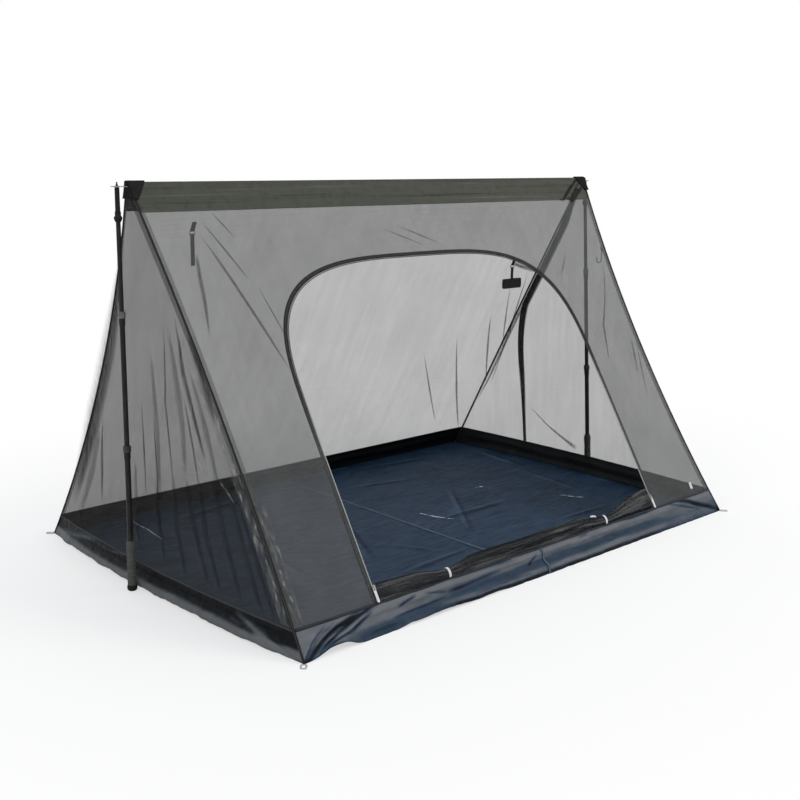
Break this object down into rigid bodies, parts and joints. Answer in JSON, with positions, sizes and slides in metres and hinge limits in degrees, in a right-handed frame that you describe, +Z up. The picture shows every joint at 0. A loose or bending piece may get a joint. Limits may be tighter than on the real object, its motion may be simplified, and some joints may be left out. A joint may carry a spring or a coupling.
{
  "type": "mosquito net tent",
  "caption": "Two-pole ridge tent of see-through mosquito net on a dark bathtub floor, with an open arched zip door, its panel rolled on the sill, and telescoping trekking poles.",
  "frame": {"origin": "on the ground, under the middle of the tent", "axes": "+X along the ridge to the right as seen from the door, +Y from the door to the back, +Z up"},
  "size_m": [2.26, 1.5104, 1.2843],
  "materials": {
    "floor_cloth": "coated, slightly glossy",
    "net": "fine open mesh",
    "ridge_cloth": "thin solid cloth",
    "black_cloth": "matt",
    "webbing": "woven tape",
    "metal": "plain metal",
    "zip_coil": "nylon coil",
    "white_cord": "matt white",
    "hook_plastic": "moulded",
    "shaft_black": "black anodised",
    "lock_grey": "fluted",
    "lock_silver": "fluted, silver grey",
    "grip_foam": "ribbed foam",
    "dark_rubber": "matt",
    "tip_steel": "matt, with a hard steel point"
  },
  "bodies": {
    "tent": {"floor_left": "floor_cloth", "floor_right": "floor_cloth", "floor_seam_tape": "floor_cloth", "wall_front": "floor_cloth", "wall_back": "floor_cloth", "wall_left": "floor_cloth", "wall_right": "floor_cloth", "net_front": "net", "net_back": "net", "net_left_end": "net", "net_right_end": "net", "net_gather": "net", "door_roll": "net", "ridge_band": "ridge_cloth", "hip_binding_front_left": "black_cloth", "hip_binding_front_right": "black_cloth", "hip_binding_back_left": "black_cloth", "hip_binding_back_right": "black_cloth", "apex_patch_left": "black_cloth", "apex_patch_right": "black_cloth", "zip_tape": "black_cloth", "ridge_tab_left": "webbing", "ridge_tab_right": "webbing", "corner_loop_front_left": "webbing", "corner_loop_front_right": "webbing", "corner_loop_back_left": "webbing", "corner_loop_back_right": "webbing", "hang_tab_left": "webbing", "hang_tab_right": "webbing", "hip_hook_loop": "webbing", "ridge_eyelet_left": "metal", "ridge_eyelet_right": "metal", "zip_coil": "zip_coil", "door_tie_left": "white_cord", "door_tie_right": "white_cord", "left_pole_upper_shaft": "shaft_black", "right_pole_upper_shaft": "shaft_black", "left_pole_grip": "grip_foam", "right_pole_grip": "grip_foam", "left_pole_head_cap": "dark_rubber", "right_pole_head_cap": "dark_rubber"},
    "left_upper_nut": {"left_pole_upper_lock_nut": "lock_grey"},
    "left_middle_section": {"left_pole_middle_shaft": "shaft_black"},
    "left_middle_nut": {"left_pole_middle_lock_nut": "lock_silver"},
    "left_lower_section": {"left_pole_lower_shaft": "shaft_black", "left_pole_basket_collar": "dark_rubber", "left_pole_tip_ferrule": "tip_steel"},
    "left_slider": {"zip_slider_left": "metal"},
    "left_pull": {"zip_pull_left": "white_cord"},
    "left_hanger": {"hang_strap_left": "webbing"},
    "right_upper_nut": {"right_pole_upper_lock_nut": "lock_grey"},
    "right_middle_section": {"right_pole_middle_shaft": "shaft_black"},
    "right_middle_nut": {"right_pole_middle_lock_nut": "lock_silver"},
    "right_lower_section": {"right_pole_lower_shaft": "shaft_black", "right_pole_basket_collar": "dark_rubber", "right_pole_tip_ferrule": "tip_steel"},
    "right_slider": {"zip_slider_right": "metal"},
    "right_pull": {"zip_pull_right": "white_cord"},
    "right_hanger": {"hang_strap_right": "webbing"},
    "hook": {"hip_hook": "hook_plastic"}
  },
  "joints": [
    {"name": "left_upper_nut_turn", "type": "hinge", "parent": "tent", "child": "left_upper_nut", "pos_m": [-1.121, 0.059, 0.465], "axis": [0, 0, 1], "range_deg": [0, 180]},
    {"name": "left_middle_section_slide", "type": "slide", "parent": "tent", "child": "left_middle_section", "axis": [0, 0, 1], "range_m": [-0.35, 0]},
    {"name": "left_middle_nut_turn", "type": "hinge", "parent": "left_middle_section", "child": "left_middle_nut", "pos_m": [-1.121, 0.059, 0.885], "axis": [0, 0, 1], "range_deg": [0, 180]},
    {"name": "left_lower_section_slide", "type": "slide", "parent": "left_middle_section", "child": "left_lower_section", "axis": [0, 0, 1], "range_m": [-0.26, 0]},
    {"name": "right_upper_nut_turn", "type": "hinge", "parent": "tent", "child": "right_upper_nut", "pos_m": [1.106, 0.00203, 0.46467], "axis": [0, 0.0709, 0.9975], "range_deg": [0, 180]},
    {"name": "right_middle_section_slide", "type": "slide", "parent": "tent", "child": "right_middle_section", "axis": [0, 0.0709, 0.9975], "range_m": [-0.35, 0]},
    {"name": "right_middle_nut_turn", "type": "hinge", "parent": "right_middle_section", "child": "right_middle_nut", "pos_m": [1.106, 0.03182, 0.88362], "axis": [0, 0.0709, 0.9975], "range_deg": [0, 180]},
    {"name": "right_lower_section_slide", "type": "slide", "parent": "right_middle_section", "child": "right_lower_section", "axis": [0, 0.0709, 0.9975], "range_m": [-0.26, 0]},
    {"name": "left_slider_slide", "type": "slide", "parent": "tent", "child": "left_slider", "axis": [0, 0.5244, 0.8515], "range_m": [0, 0.51]},
    {"name": "left_pull_swing", "type": "hinge", "parent": "left_slider", "child": "left_pull", "pos_m": [-0.735, -0.66266, 0.12172], "axis": [-1, 0, 0], "range_deg": [0, 150]},
    {"name": "right_slider_slide", "type": "slide", "parent": "tent", "child": "right_slider", "axis": [0, 0.5244, 0.8515], "range_m": [0, 0.51]},
    {"name": "right_pull_swing", "type": "hinge", "parent": "right_slider", "child": "right_pull", "pos_m": [0.665, -0.66266, 0.12172], "axis": [-1, 0, 0], "range_deg": [0, 150]},
    {"name": "left_hanger_swing", "type": "hinge", "parent": "tent", "child": "left_hanger", "pos_m": [-0.81, 0.14165, 1.10775], "axis": [1, 0, 0], "range_deg": [-60, 12]},
    {"name": "right_hanger_swing", "type": "hinge", "parent": "tent", "child": "right_hanger", "pos_m": [0.88, 0.25427, 0.89275], "axis": [1, 0, 0], "range_deg": [-60, 12]},
    {"name": "hook_swing", "type": "hinge", "parent": "tent", "child": "hook", "pos_m": [1.04153, -0.09529, 0.9888], "axis": [1, 0, 0], "range_deg": [-30, 60]}
  ]
}
